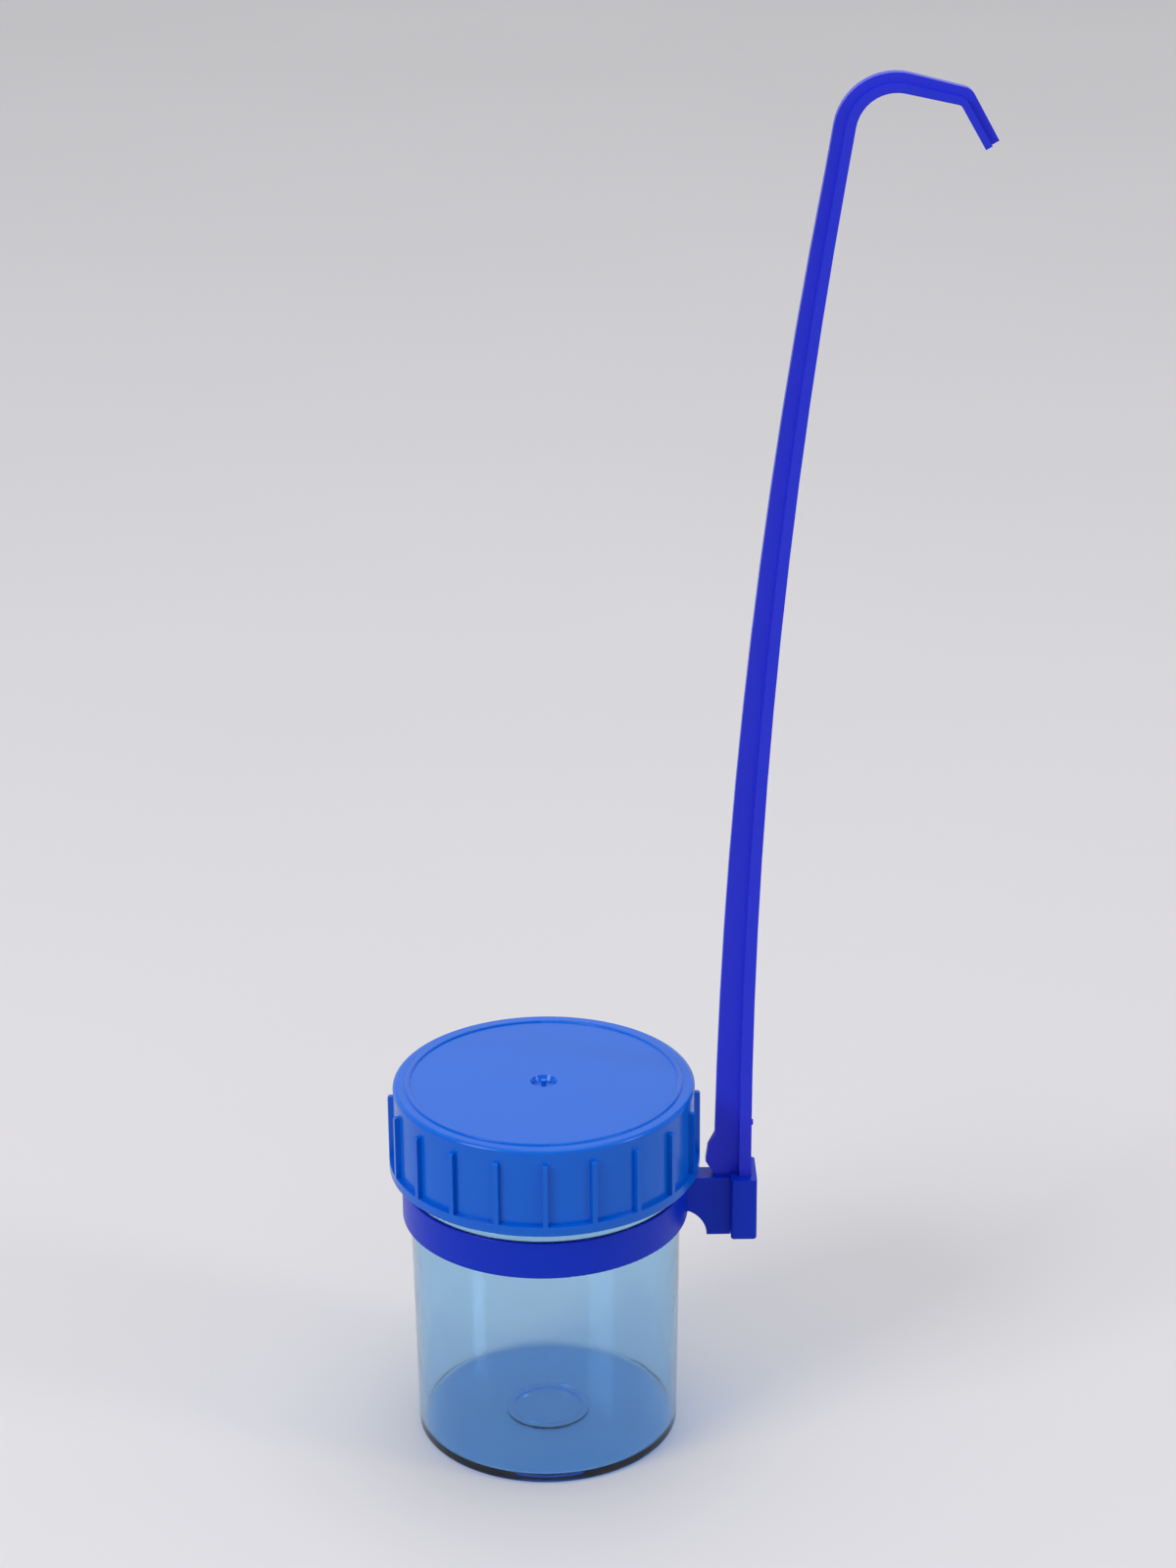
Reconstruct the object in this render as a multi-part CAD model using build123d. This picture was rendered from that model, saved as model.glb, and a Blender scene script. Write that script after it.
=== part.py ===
from build123d import *
import os
from math import cos, degrees, radians, sin

os.makedirs("parts", exist_ok=True)

# Specimen bottle with a screw lid and a hooked handle on a collar, all sizes in millimetres.
# Origin: centre of the bottle's base. +Z up, +X towards the handle.

# ---- Container: tinted clear bottle, moulded in one piece ----
base_r = 25.5            # outer radius at the base
draft_out = 0.8          # the wall leans out this much from the base to the bead
wall = 1.0               # side wall
floor_t = 1.7            # floor
base_edge_r = 1.0        # rounding of the outer corner at the base
inner_edge_r = 0.7       # rounding where the floor meets the wall, inside
boss_r = 8.2             # gate boss in the middle of the floor
boss_h = 0.5
boss_rim_w = 1.4         # raised rim round the boss
boss_dish = 0.3          # how far the middle of the boss is sunk
body_h = 53.9            # from the base to the underside of the bead
bead_h = 2.5             # shoulder bead that the collar stops against
bead_out = 1.0           # stands out this far from the wall
bead_edge_r = 0.5
neck_in = 0.1            # the neck behind the thread is set in this much from the wall
neck_h = 15.0            # from the top of the bead to the rim
rim_edge_r = 0.25

# ---- Thread shared by neck and lid: single start, right-handed ----
lead = 5.0
thread_turns = 1.25
thread_base_w = 1.8
thread_crest_w = 1.0
thread_depth = 1.0
thread_rim_gap = 1.75    # plain neck between the end of the thread and the rim
thread_gap = 0.3         # radial clearance, crest to root
thread_play = 0.2        # axial clearance between the flanks
thread_root = 0.3        # how deep each thread is rooted in its wall

# ---- Liner: sealing disc held in the lid ----
liner_t = 1.0
liner_gap = 0.3          # radial clearance in the lid

# ---- Screw lid ----
lid_wall = 1.5           # skirt
lid_top_t = 1.6
lid_edge_r = 0.8
lid_gap = 0.2            # between the skirt and the bead
band_h = 2.0             # plain band round the bottom of the skirt
rib_count = 20
rib_w = 0.95
rib_out = 1.0            # ribs and band stand out this far
rib_stop = 2.7           # ribs end this far below the top
rib_end_w = 0.3          # bevel at the top of each rib
band_edge_r = 0.3
top_bead_in = 2.8        # thin raised ring on the top, this far in from the skirt
top_bead_w = 1.0
top_bead_h = 0.35
dimple_r = 2.6           # gate dimple in the middle of the top
dimple_d = 0.9
dimple_slope_w = 0.6     # its wall leans in this much
gate_r = 0.5             # stub of the gate in the dimple
gate_h = 1.1

# ---- Collar: ring that the bottle drops into, with the bracket and socket for the handle ----
collar_h = 7.5
collar_wall = 1.1
collar_gap = 0.3         # radial clearance round the bottle
collar_edge_r = 0.3
rib_t = 4.6              # bracket rib between ring and socket
rib_drop = 5.1           # how far the rib reaches below the ring
rib_top_drop = 0.3       # its top lies this far below the top of the ring
cove_w = 3.4             # hollow cove under the rib, against the ring
cove_r = 5.6
cove_gap = 0.2           # the cove starts this far outside the ring
bracket_len = 8.2        # from the ring to the socket
socket_wall_side = 1.8
socket_wall_in = 1.5     # wall towards the bottle
socket_wall_out = 1.0    # wall away from the bottle
socket_rise = 0.7        # top of the socket above the rib
socket_floor = 1.8
socket_edge_r = 0.6

# ---- Handle: tapered T-section stem with a hook at its top ----
plug_gap = 0.1           # clearance of the flange in the socket
plug_end_gap = 0.3       # clearance under its end
stem_h = 187.8           # from the top of the foot to the end of the stem
lean_r = 1176.0          # radius of its lean outwards
flange_w = 6.0           # across, at the foot
flange_w_top = 4.6
flange_t = 2.3
flange_t_top = 1.7
flange_t_tip = 1.3
web_t = 2.0
depth_foot = 6.95        # flange and web together
depth_top = 3.7
depth_corner = 2.95
depth_tip = 2.8
foot_gap = 1.1           # the web's widened foot stays this far from the lid
foot_h = 6.0             # height of the widened foot
foot_slope_h = 2.6       # height over which it narrows again
stem_rise = 15.9         # from the stem's end to the corner of the bend
arm_len = 17.3           # corner to corner along the arm
tip_len = 9.0            # corner to the end of the tip
arm_drop = 12.5          # degrees below level
tip_drop = 60.0
bend_r = 7.0             # inner radius of the bend
corner_r = 0.9
corner_out_r = 2.6
tip_r = 1.2              # rounding of the hook's end
vestige_rise = 2.3       # gate vestige on the flange, above the foot
vestige_w = 1.6
vestige_out = 0.45

# ---- Sizes that follow ----
shoulder_r = base_r + draft_out
bead_r = shoulder_r + bead_out
neck_r = shoulder_r - neck_in
thread_start = neck_h - thread_rim_gap - thread_base_w / 2 - lead * thread_turns
bead_top = body_h + bead_h
rim_z = bead_top + neck_h
lid_under = rim_z + liner_t
lid_top = lid_under + lid_top_t
lid_bottom = bead_top + lid_gap
lid_bore_r = neck_r + thread_depth + thread_gap
lid_r = lid_bore_r + lid_wall
top_bead_r = lid_r - top_bead_in
mouth_r = shoulder_r - wall
collar_top = body_h
collar_bottom = collar_top - collar_h
collar_bore_r = shoulder_r + collar_gap
collar_r = collar_bore_r + collar_wall
rib_top = collar_top - rib_top_drop
bracket_bottom = collar_bottom - rib_drop
socket_top = rib_top + socket_rise
socket_x = collar_r + bracket_len
slot_x = socket_x + socket_wall_in
slot_z = bracket_bottom + socket_floor
plug_end = slot_z + plug_end_gap
stem_x = slot_x + plug_gap + flange_t
foot_x = lid_r + rib_out + foot_gap
curve_z = rib_top + foot_h + foot_slope_h
stem_top_z = curve_z + stem_h


def ring_section(r_in, r_out, z_low, z_high):
    """Rectangular section in the XZ plane, for a turned ring or disc."""
    points = [(r_in, z_low), (r_out, z_low), (r_out, z_high), (r_in, z_high)]
    return Plane.XZ * make_face(Polyline(*points, close=True))


def turned(r_in, r_out, z_low, z_high):
    return revolve(ring_section(r_in, r_out, z_low, z_high), Axis.Z)


def edges_at(solid, z, r):
    """Circular edges at a height and a radius."""
    found = solid.edges().filter_by(GeomType.CIRCLE)
    return [e for e in found if abs(e.center().Z - z) < 0.01 and abs(e.radius - r) < 0.01]


def thread(root_r, outward, z_start):
    """Helical thread on a wall of radius root_r; outward is 1 on a neck, -1 in a lid."""
    path = Helix(pitch=lead, height=lead * thread_turns, radius=root_r)
    in_x = -outward * thread_root
    out_x = outward * thread_depth
    half_crest = thread_crest_w / 2
    slope = (thread_base_w - thread_crest_w) / 2 / thread_depth
    half_in = half_crest + slope * (thread_depth + thread_root)
    outline = [(in_x, -half_in), (out_x, -half_crest), (out_x, half_crest), (in_x, half_in)]
    start = Plane(origin=path @ 0, x_dir=(1, 0, 0), z_dir=path % 0)
    section = start * make_face(Polyline(*outline, close=True))
    return Pos(0, 0, z_start) * sweep(section, path=path, is_frenet=True)


def container():
    """Drafted cup with a bead, a threaded neck and a gate boss on its floor."""
    outer = make_face(Polyline((0, 0), (base_r, 0), (shoulder_r, body_h), (bead_r, body_h),
                               (bead_r, bead_top), (neck_r, bead_top), (neck_r, rim_z),
                               (0, rim_z), close=True))
    inner = make_face(Polyline((0, floor_t), (base_r - wall, floor_t), (mouth_r, body_h),
                               (mouth_r, rim_z), (0, rim_z), close=True))
    shell = revolve(Plane.XZ * outer, Axis.Z) - revolve(Plane.XZ * inner, Axis.Z)
    shell = fillet(edges_at(shell, 0, base_r), base_edge_r)
    shell = fillet(edges_at(shell, floor_t, base_r - wall), inner_edge_r)
    shell = fillet(edges_at(shell, bead_top, bead_r), bead_edge_r)
    shell = fillet(edges_at(shell, rim_z, neck_r) + edges_at(shell, rim_z, mouth_r), rim_edge_r)
    boss = turned(0, boss_r, floor_t / 2, floor_t + boss_h)
    boss -= turned(0, boss_r - boss_rim_w, floor_t + boss_h - boss_dish, floor_t + 2 * boss_h)
    return shell + boss + thread(neck_r, 1, bead_top + thread_start)


def sealing_liner():
    """Plain disc between the rim and the top of the lid."""
    return turned(0, lid_bore_r - liner_gap, rim_z, lid_under)


def screw_lid():
    """Ribbed cap with an internal thread, a raised ring and a gate dimple on top."""
    band_top = lid_bottom + band_h
    cap = turned(0, lid_r, lid_bottom, lid_top)
    cap = fillet(edges_at(cap, lid_top, lid_r), lid_edge_r)
    band = turned(lid_r - rib_out, lid_r + rib_out, lid_bottom, band_top)
    band = fillet(edges_at(band, lid_bottom, lid_r + rib_out), band_edge_r)
    cap += band
    rib_len = lid_top - rib_stop - lid_bottom - band_edge_r
    rib_low = lid_bottom + band_edge_r
    rib = Pos(lid_r, 0, rib_low + rib_len / 2) * Box(2 * rib_out, rib_w, rib_len)
    rib = chamfer(rib.edges().filter_by(Axis.Y).sort_by(lambda e: e.center().Z + e.center().X)[-1],
                  rib_end_w)
    cap += [Rot(0, 0, i * 360 / rib_count - 90) * rib for i in range(rib_count)]
    cap -= turned(0, lid_bore_r, lid_bottom - 1, lid_under)
    raised = turned(top_bead_r - top_bead_w / 2, top_bead_r + top_bead_w / 2,
                    lid_top - lid_top_t / 2, lid_top + top_bead_h)
    raised = fillet(edges_at(raised, lid_top + top_bead_h, top_bead_r + top_bead_w / 2)
                    + edges_at(raised, lid_top + top_bead_h, top_bead_r - top_bead_w / 2),
                    top_bead_h * 0.9)
    cap += raised
    dish = make_face(Polyline((0, lid_top - dimple_d), (dimple_r - dimple_slope_w, lid_top - dimple_d),
                              (dimple_r, lid_top), (0, lid_top), close=True))
    cap -= revolve(Plane.XZ * dish, Axis.Z)
    dimple_floor = lid_top - dimple_d
    cap += turned(0, gate_r, (lid_under + dimple_floor) / 2, dimple_floor + gate_h)
    drop = (thread_base_w + thread_crest_w) / 2 + thread_play
    return cap + thread(lid_bore_r, -1, bead_top + thread_start - drop)


def upright(points_face, width):
    """Extrude a face drawn in X and Z equally to both sides of Y = 0."""
    return extrude(Plane.XZ * points_face, amount=width / 2, both=True)


def collar():
    """Ring with a rib that carries the socket; the cove lightens the rib under the ring."""
    ring = turned(collar_bore_r, collar_r, collar_bottom, collar_top)
    ring = fillet(edges_at(ring, collar_bottom, collar_r) + edges_at(ring, collar_top, collar_r),
                  collar_edge_r)
    slot_end = stem_x + plug_gap
    socket_end = slot_end + socket_wall_out
    web_x0 = (collar_bore_r + collar_r) / 2
    cove_x = collar_r + cove_gap
    with BuildSketch() as side:
        with BuildLine():
            Line((web_x0, rib_top), (socket_x, rib_top))
            Line((socket_x, rib_top), (socket_x, bracket_bottom))
            Line((socket_x, bracket_bottom), (cove_x + cove_w, bracket_bottom))
            RadiusArc((cove_x + cove_w, bracket_bottom), (cove_x, collar_bottom), -cove_r)
            Line((cove_x, collar_bottom), (web_x0, collar_bottom))
            Line((web_x0, collar_bottom), (web_x0, rib_top))
        make_face()
    rib = upright(side.sketch, rib_t) - turned(0, collar_bore_r, 0, collar_top)
    slot_w = flange_w + 2 * plug_gap
    block_c = ((socket_x + socket_end) / 2, 0, (bracket_bottom + socket_top) / 2)
    block = Pos(*block_c) * Box(socket_end - socket_x, slot_w + 2 * socket_wall_side,
                                socket_top - bracket_bottom)
    uprights = block.edges().filter_by(Axis.Z)
    block = fillet(block.faces().sort_by(Axis.Z)[0].edges() + uprights, socket_edge_r)
    slot_c = ((slot_x + slot_end) / 2, 0, (slot_z + socket_top) / 2)
    slot = Pos(*slot_c) * Box(slot_end - slot_x, slot_w, socket_top - slot_z)
    notch_c = ((socket_x + slot_x) / 2, 0, (rib_top + socket_top) / 2)
    notch = Pos(*notch_c) * Box(socket_wall_in, web_t + 2 * plug_gap, socket_rise)
    return ring + rib + (block - slot - notch)


def heading(turn):
    """Unit vector in X and Z, turned clockwise from straight up by so many degrees."""
    return (sin(radians(turn)), cos(radians(turn)))


def left_of(point, turn_in, turn_out, distance):
    """Point a distance to the left of a corner, measured square to both of its legs."""
    half = radians(turn_out - turn_in) / 2
    middle = radians(turn_in + turn_out) / 2
    reach = distance / cos(half)
    return (point[0] - reach * cos(middle), point[1] + reach * sin(middle))


def handle_line(foot, top, corner, tip, bend, corner_bend):
    """Line along the handle at given depths behind the flange's free face."""
    lean = degrees((stem_top_z - curve_z) / lean_r)
    stem_end = (stem_x + lean_r * (1 - cos(radians(lean))), curve_z + lean_r * sin(radians(lean)))
    arm = 90 + arm_drop
    fall = 90 + tip_drop
    up = heading(lean)
    out = heading(arm)
    down = heading(fall)
    bend_at = (stem_end[0] + stem_rise * up[0], stem_end[1] + stem_rise * up[1])
    corner_at = (bend_at[0] + arm_len * out[0], bend_at[1] + arm_len * out[1])
    tip_at = (corner_at[0] + tip_len * down[0], corner_at[1] + tip_len * down[1])
    mid_depth = (foot + top) / 2
    mid_point = (stem_x + lean_r * (1 - cos(radians(lean / 2))),
                 curve_z + lean_r * sin(radians(lean / 2)))
    start = left_of((stem_x, curve_z), 0, 0, foot)
    mid = left_of(mid_point, lean / 2, lean / 2, mid_depth)
    end = left_of(stem_end, lean, lean, top)
    stem = ThreePointArc(start, mid, end)
    corners = [left_of(bend_at, lean, arm, top), left_of(corner_at, arm, fall, corner)]
    hook = FilletPolyline(end, *corners, left_of(tip_at, fall, fall, tip), radius=[bend, corner_bend])
    return stem, hook, start


def band_face(depths_a, depths_b, low_a, low_b, foot_points):
    """Face between two lines along the handle, closed at the foot and at the tip."""
    stem_a, hook_a, start_a = handle_line(*depths_a)
    stem_b, hook_b, start_b = handle_line(*depths_b)
    foot_a = (start_a[0], low_a)
    foot_b = (start_b[0], low_b)
    edges = [Line(foot_a, start_a), stem_a, hook_a, Line(hook_a @ 1, hook_b @ 1), hook_b, stem_b]
    edges.append(Polyline(start_b, *foot_points, foot_b, foot_a))
    return make_face(Wire([e for part in edges for e in part.edges()]))


def handle():
    """T-section stem, widened foot and hook in one moulding."""
    face_depths = (0, 0, 0, 0, bend_r, corner_r)
    ridge = (flange_t, flange_t_top, flange_t_tip, flange_t_tip, bend_r + flange_t_top,
             (corner_r + corner_out_r) / 2)
    back = (depth_foot, depth_top, depth_corner, depth_tip, bend_r + depth_top, corner_out_r)
    flange = upright(band_face(face_depths, ridge, plug_end, plug_end, []), flange_w)
    foot_out = stem_x - depth_foot - foot_x
    foot = [(foot_x + foot_out / 4, rib_top + foot_h), (foot_x, rib_top + foot_h / 2)]
    lap = (flange_t / 2, flange_t_top / 2, flange_t_tip / 2, flange_t_tip / 2,
           bend_r + flange_t_top / 2, corner_r)
    web = upright(band_face(lap, back, rib_top, rib_top, foot), web_t)
    top_z = stem_top_z + 2 * stem_rise
    half_foot = flange_w / 2
    half_top = flange_w_top / 2
    sides = Plane.YZ * make_face(Polyline((-half_foot, plug_end - 1), (half_foot, plug_end - 1),
                                          (half_foot, curve_z), (half_top, stem_top_z), (half_top, top_z),
                                          (-half_top, top_z), (-half_top, stem_top_z),
                                          (-half_foot, curve_z), close=True))
    taper = extrude(sides, amount=stem_x + 4 * arm_len)
    stub = Cone(vestige_w / 2, vestige_w / 3, 2 * vestige_out)
    vestige = Pos(stem_x, 0, curve_z + vestige_rise) * Rot(0, 90, 0) * stub
    moulding = (flange & taper) + vestige + web
    fall = heading(90 + tip_drop)
    cross = moulding.edges().filter_by(Axis.Y)
    ends = cross.sort_by(lambda e: e.center().X * fall[0] + e.center().Z * fall[1])[-4:].sort_by(Axis.X)
    return fillet([ends[0], ends[-1]], tip_r)


def save(name, solid):
    solid.label = name
    export_step(solid, f"parts/{name}.step")


save("container", container())
save("sealing_liner", sealing_liner())
save("screw_lid", screw_lid())
save("collar", collar())
save("handle", handle())
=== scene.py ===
from math import radians

import bmesh
import bpy
from mathutils import Matrix, Vector

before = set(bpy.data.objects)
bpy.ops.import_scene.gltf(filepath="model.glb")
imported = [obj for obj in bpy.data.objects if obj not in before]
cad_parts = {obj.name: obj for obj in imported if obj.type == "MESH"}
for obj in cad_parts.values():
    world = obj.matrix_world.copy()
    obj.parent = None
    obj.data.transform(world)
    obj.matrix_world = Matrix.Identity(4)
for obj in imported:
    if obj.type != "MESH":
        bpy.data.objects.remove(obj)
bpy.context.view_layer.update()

# ---- Camera ----
# A long lens a little above the lid looks down at the standing bottle. It is level to within
# half a degree, and the colours are shown as they are written.
camera_distance = 0.6231
camera_height = 0.3878
camera_pitch = 22.06     # degrees below level
camera_yaw = 0.825       # degrees to the right
camera_roll = -0.476     # degrees
lens_mm = 83.25
film_mm = 36.0           # height of the film
clip_far = 20

scene = bpy.context.scene
scene.view_settings.view_transform = "Standard"
camera_data = bpy.data.cameras.new("camera")
camera_data.lens = lens_mm
camera_data.sensor_fit = "VERTICAL"
camera_data.sensor_height = film_mm
camera_data.clip_end = clip_far
camera = bpy.data.objects.new("camera", camera_data)
scene.collection.objects.link(camera)
camera_turn = (Matrix.Rotation(radians(-camera_yaw), 4, "Z")
               @ Matrix.Rotation(radians(90 - camera_pitch), 4, "X")
               @ Matrix.Rotation(radians(camera_roll), 4, "Z"))
camera.matrix_world = Matrix.Translation((0, -camera_distance, camera_height)) @ camera_turn
scene.camera = camera

# ---- Room ----
# Even, nearly white light comes from all around. What is seen of the room, straight or in a
# reflection, is a pale wall behind the bench that darkens towards the front.
room_light = (0.60, 0.60, 0.61, 1)
front_colour = (0.20, 0.20, 0.22, 1)
wall_colour = (1.0, 1.0, 1.0, 1)
wall_starts = -0.1       # Y of the direction in which the wall begins to show
wall_full = 0.85         # and in which nothing else shows


def put(nodes, kind, **values):
    """New node with its settings, and its input sockets by name."""
    node = nodes.new(kind)
    for key, value in values.items():
        if hasattr(node, key):
            setattr(node, key, value)
        else:
            node.inputs[key.replace("_", " ")].default_value = value
    return node


def mix_colours(nodes, colour_a, colour_b):
    """Mix node that runs from one colour to the other: its Factor, A and B are sockets 0, 6 and 7."""
    mix = put(nodes, "ShaderNodeMix", data_type="RGBA")
    mix.inputs[6].default_value = colour_a
    mix.inputs[7].default_value = colour_b
    return mix


def seen_directly(nodes, links):
    """1 for what the camera, a reflection or clear plastic sees, 0 for the light it gives."""
    path = put(nodes, "ShaderNodeLightPath")
    first = put(nodes, "ShaderNodeMath", operation="MAXIMUM")
    second = put(nodes, "ShaderNodeMath", operation="MAXIMUM")
    links.new(path.outputs["Is Camera Ray"], first.inputs[0])
    links.new(path.outputs["Is Glossy Ray"], first.inputs[1])
    links.new(first.outputs[0], second.inputs[0])
    links.new(path.outputs["Is Transmission Ray"], second.inputs[1])
    return second.outputs[0]


world = bpy.data.worlds.new("studio")
world.use_nodes = True
scene.world = world
sky = world.node_tree.nodes
sky_links = world.node_tree.links
direction = put(sky, "ShaderNodeTexCoord")
apart = put(sky, "ShaderNodeSeparateXYZ")
depth = put(sky, "ShaderNodeMapRange", interpolation_type="SMOOTHSTEP")
depth.inputs["From Min"].default_value = wall_starts
depth.inputs["From Max"].default_value = wall_full
room = mix_colours(sky, front_colour, wall_colour)
light_or_room = mix_colours(sky, room_light, wall_colour)
sky_links.new(direction.outputs["Generated"], apart.inputs[0])
sky_links.new(apart.outputs["Y"], depth.inputs["Value"])
sky_links.new(depth.outputs[0], room.inputs[0])
sky_links.new(room.outputs[2], light_or_room.inputs[7])
sky_links.new(seen_directly(sky, sky_links), light_or_room.inputs[0])
sky_links.new(light_or_room.outputs[2], sky["Background"].inputs["Color"])

# ---- Bench ----
# A wide, matt, pale bench top with faint clouding. The bottle stands a hair above it, so that
# its clear base and the bench are never one surface.
bench_half = 6
bench_gap = 0.0001
bench_rough = 0.55
bench_specular = 0.25
bench_cloud_scale = 3.0
bench_bounce = (0.42, 0.42, 0.43, 1)    # the colour that it gives back as light


def srgb(red, green, blue):
    """Linear colour of an sRGB value from 0 to 255."""
    parts = [c / 255 for c in (red, green, blue)]
    return [c / 12.92 if c < 0.04045 else ((c + 0.055) / 1.055) ** 2.4 for c in parts] + [1]


def shader_nodes(name):
    """New material with an empty node tree: the material, its nodes, its links and its output."""
    material = bpy.data.materials.new(name)
    material.use_nodes = True
    tree = material.node_tree
    tree.nodes.clear()
    output = tree.nodes.new("ShaderNodeOutputMaterial")
    return material, tree.nodes, tree.links, output


def bench_top():
    material, nodes, links, output = shader_nodes("bench_top")
    place = put(nodes, "ShaderNodeTexCoord")
    cloud = put(nodes, "ShaderNodeTexNoise", Scale=bench_cloud_scale, Detail=3.0)
    clouded = mix_colours(nodes, srgb(216, 215, 218), srgb(224, 222, 225))
    lit = mix_colours(nodes, bench_bounce, bench_bounce)
    surface = put(nodes, "ShaderNodeBsdfPrincipled", Roughness=bench_rough)
    surface.inputs["Specular IOR Level"].default_value = bench_specular
    links.new(place.outputs["Object"], cloud.inputs["Vector"])
    links.new(cloud.outputs["Fac"], clouded.inputs[0])
    links.new(seen_directly(nodes, links), lit.inputs[0])
    links.new(clouded.outputs[2], lit.inputs[7])
    links.new(lit.outputs[2], surface.inputs["Base Color"])
    links.new(surface.outputs[0], output.inputs["Surface"])
    return material


bench_mesh = bpy.data.meshes.new("bench")
bench_shape = bmesh.new()
bmesh.ops.create_grid(bench_shape, x_segments=1, y_segments=1, size=bench_half)
bench_shape.to_mesh(bench_mesh)
bench_shape.free()
bench_mesh.transform(Matrix.Translation((0, 0, -bench_gap)))
bench_mesh.materials.append(bench_top())
bench = bpy.data.objects.new("bench", bench_mesh)
scene.collection.objects.link(bench)

# ---- Lamps ----
# Three soft square lamps: the key at the front left, one high above, and a weaker one at the
# front right that keeps the shaded side open.
lamp_aim = Vector((0, 0, 0.1))


def lamp(name, place, size, watts):
    """Soft square lamp at a place, turned to the bottle."""
    data = bpy.data.lights.new(name, "AREA")
    data.size = size
    data.energy = watts
    holder = bpy.data.objects.new(name, data)
    scene.collection.objects.link(holder)
    turn = (lamp_aim - Vector(place)).to_track_quat("-Z", "Y").to_matrix().to_4x4()
    holder.matrix_world = Matrix.Translation(place) @ turn


lamp("key_lamp", (-1.0, -0.75, 0.9), size=0.6, watts=9)
lamp("top_lamp", (0.1, 0.1, 1.6), size=1.0, watts=5)
lamp("side_lamp", (1.2, -0.5, 0.7), size=0.3, watts=3.5)

# ---- Container ----
# The bottle is one injection moulding in clear plastic with a blue tint, polished inside and
# out. Its wall is about 1 mm and its floor is thicker, so the floor and the edges look deeper.
container_rough = 0.06
container_rough_spread = 0.05
container_skin_scale = 220.0
container_skin_depth = 0.00005
container_skin_strength = 0.3
container_ior = 1.49
tint_density = 270.0                      # per metre of plastic
tint_colour = (0.0, 0.62, 0.92, 1)
shade_tint = (0.72, 0.86, 0.95, 1)        # of the light that falls through to the bench


def moulded_finish():
    """Node group for moulded plastic: faint mottling of colour and gloss, and a fine skin texture."""
    group = bpy.data.node_groups.new("moulded_finish", "ShaderNodeTree")
    sockets = group.interface
    sockets.new_socket("Vector", in_out="INPUT", socket_type="NodeSocketVector")
    for name, value in (("Mottle Scale", 60.0), ("Skin Scale", 900.0), ("Rough", 0.35),
                        ("Rough Spread", 0.08)):
        socket = sockets.new_socket(name, in_out="INPUT", socket_type="NodeSocketFloat")
        socket.default_value = value
    for name in ("Mottle", "Roughness", "Height"):
        sockets.new_socket(name, in_out="OUTPUT", socket_type="NodeSocketFloat")
    nodes, links = group.nodes, group.links
    come = nodes.new("NodeGroupInput")
    go = nodes.new("NodeGroupOutput")
    mottle = put(nodes, "ShaderNodeTexNoise", Detail=4.0)
    skin = put(nodes, "ShaderNodeTexNoise", Detail=2.0)
    spread = put(nodes, "ShaderNodeMath", operation="MULTIPLY_ADD")
    centre = put(nodes, "ShaderNodeMath", operation="SUBTRACT")
    centre.inputs[1].default_value = 0.5
    links.new(come.outputs["Vector"], mottle.inputs["Vector"])
    links.new(come.outputs["Mottle Scale"], mottle.inputs["Scale"])
    links.new(come.outputs["Vector"], skin.inputs["Vector"])
    links.new(come.outputs["Skin Scale"], skin.inputs["Scale"])
    links.new(mottle.outputs["Fac"], centre.inputs[0])
    links.new(centre.outputs[0], spread.inputs[0])
    links.new(come.outputs["Rough Spread"], spread.inputs[1])
    links.new(come.outputs["Rough"], spread.inputs[2])
    links.new(mottle.outputs["Fac"], go.inputs["Mottle"])
    links.new(spread.outputs[0], go.inputs["Roughness"])
    links.new(skin.outputs["Fac"], go.inputs["Height"])
    return group


finish_group = moulded_finish()


def finish_surface(nodes, links, colours, rough, rough_spread, skin_scale, skin_depth, skin_strength=1.0):
    """Principled surface with the moulded finish on its colour, its roughness and its normal."""
    place = put(nodes, "ShaderNodeTexCoord")
    finish = put(nodes, "ShaderNodeGroup", node_tree=finish_group)
    finish.inputs["Rough"].default_value = rough
    finish.inputs["Rough Spread"].default_value = rough_spread
    finish.inputs["Skin Scale"].default_value = skin_scale
    shade = mix_colours(nodes, *colours)
    bump = put(nodes, "ShaderNodeBump", Strength=skin_strength, Distance=skin_depth)
    surface = put(nodes, "ShaderNodeBsdfPrincipled")
    links.new(place.outputs["Object"], finish.inputs["Vector"])
    links.new(finish.outputs["Mottle"], shade.inputs[0])
    links.new(shade.outputs[2], surface.inputs["Base Color"])
    links.new(finish.outputs["Roughness"], surface.inputs["Roughness"])
    links.new(finish.outputs["Height"], bump.inputs["Height"])
    links.new(bump.outputs["Normal"], surface.inputs["Normal"])
    return surface


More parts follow.
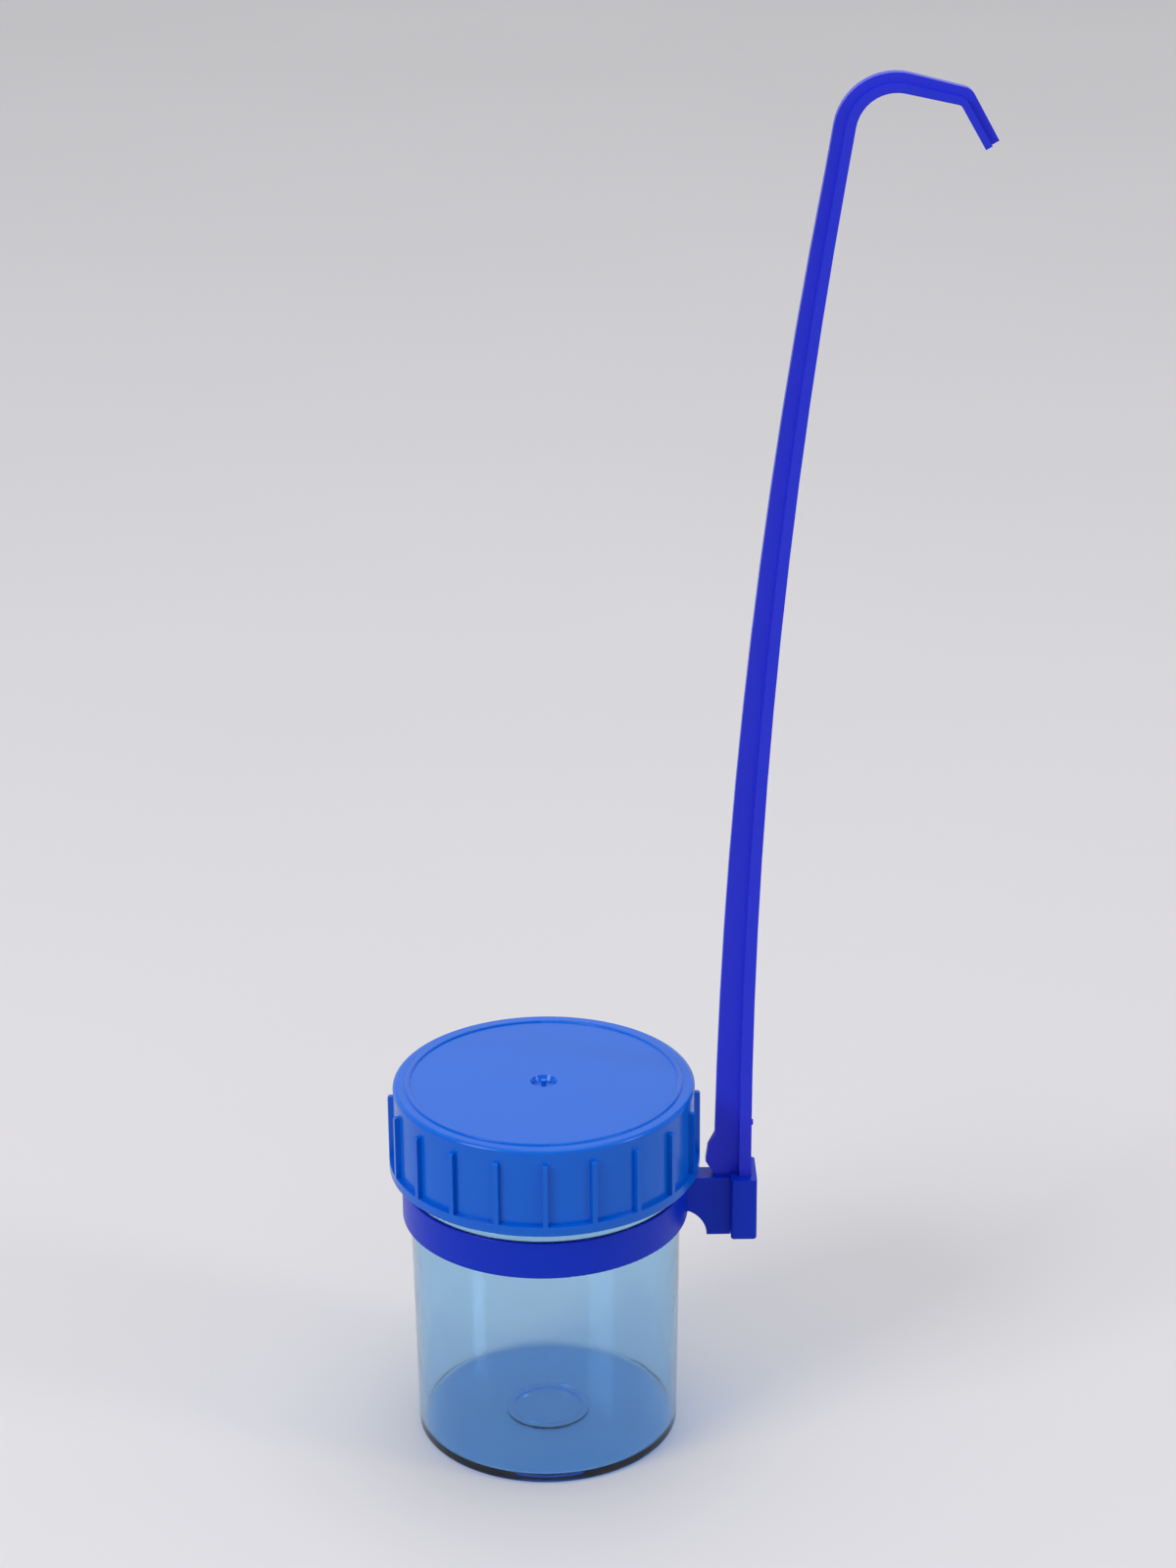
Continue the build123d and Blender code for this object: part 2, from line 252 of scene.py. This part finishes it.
def tinted_clear():
    """Clear tinted plastic that lets the lamps through to the bench."""
    material, nodes, links, output = shader_nodes("tinted_clear")
    colours = ((0.86, 0.93, 0.98, 1), (0.83, 0.91, 0.97, 1))
    surface = finish_surface(nodes, links, colours, container_rough, container_rough_spread,
                             container_skin_scale, container_skin_depth, container_skin_strength)
    surface.inputs["Transmission Weight"].default_value = 1.0
    surface.inputs["IOR"].default_value = container_ior
    through = put(nodes, "ShaderNodeBsdfTransparent", Color=shade_tint)
    path = put(nodes, "ShaderNodeLightPath")
    shade_ray = put(nodes, "ShaderNodeMath", operation="MAXIMUM")
    mixed = put(nodes, "ShaderNodeMixShader")
    tint = put(nodes, "ShaderNodeVolumeAbsorption", Density=tint_density)
    tint.inputs["Color"].default_value = tint_colour
    links.new(path.outputs["Is Shadow Ray"], shade_ray.inputs[0])
    links.new(path.outputs["Is Diffuse Ray"], shade_ray.inputs[1])
    links.new(shade_ray.outputs[0], mixed.inputs[0])
    links.new(surface.outputs[0], mixed.inputs[1])
    links.new(through.outputs[0], mixed.inputs[2])
    links.new(mixed.outputs[0], output.inputs["Surface"])
    links.new(tint.outputs[0], output.inputs["Volume"])
    return material


def dress(node, material):
    """Give a CAD node its finish."""
    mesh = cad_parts[node].data
    mesh.materials.clear()
    mesh.materials.append(material)


dress("container", tinted_clear())

# ---- Sealing liner ----
# A disc punched from pale closed-cell foam sheet. It is pressed into the top of the lid and
# seals on the rim of the bottle.
foam_gloss = 0.2


def plastic(name, colours, gloss, rough, rough_spread, skin_scale, skin_depth):
    """Opaque plastic whose colour drifts between two close shades."""
    material, nodes, links, output = shader_nodes(name)
    surface = finish_surface(nodes, links, colours, rough, rough_spread, skin_scale, skin_depth)
    surface.inputs["Specular IOR Level"].default_value = gloss
    links.new(surface.outputs[0], output.inputs["Surface"])
    return material


dress("sealing_liner", plastic("liner_foam", (srgb(226, 230, 230), srgb(214, 219, 221)), gloss=foam_gloss,
                               rough=0.7, rough_spread=0.1, skin_scale=1500.0, skin_depth=0.00004))

# ---- Screw lid ----
# The cap is injection moulded in mid-blue plastic with a satin gloss, from a gate in the
# middle of its top. Twenty thin ribs give grip, and the thread is inside.
lid_gloss = 0.3
dress("screw_lid", plastic("lid_blue", (srgb(0, 96, 210), srgb(2, 101, 216)), gloss=lid_gloss,
                           rough=0.22, rough_spread=0.1, skin_scale=700.0, skin_depth=0.00001))

# ---- Collar ----
# The ring, its bracket and the socket are one moulding, with a duller skin than the lid. Its
# deeper blue is painted shade: the same plastic as the handle, shown darker where it sits under
# the lid. The bottle drops into the ring and hangs by its bead.
collar_gloss = 0.2
# painted shade: a darker copy of the handle's blue, for the shade under the lid
dress("collar", plastic("collar_blue_painted_shade", (srgb(2, 44, 192), srgb(6, 50, 200)), gloss=collar_gloss,
                        rough=0.34, rough_spread=0.1, skin_scale=500.0, skin_depth=0.00002))

# ---- Handle ----
# A stiff T-section stem with a hook at its top, moulded in the same plastic as the collar. Its
# lighter, a little more violet blue is painted light: a lit copy of the collar's colour. Its foot
# is pushed into the collar's socket.
handle_gloss = 0.2
# painted light: a lighter copy of the collar's blue, for the light on the handle out in the open
dress("handle", plastic("handle_blue_painted_light", (srgb(38, 50, 212), srgb(46, 56, 220)), gloss=handle_gloss,
                        rough=0.36, rough_spread=0.1, skin_scale=500.0, skin_depth=0.00002))
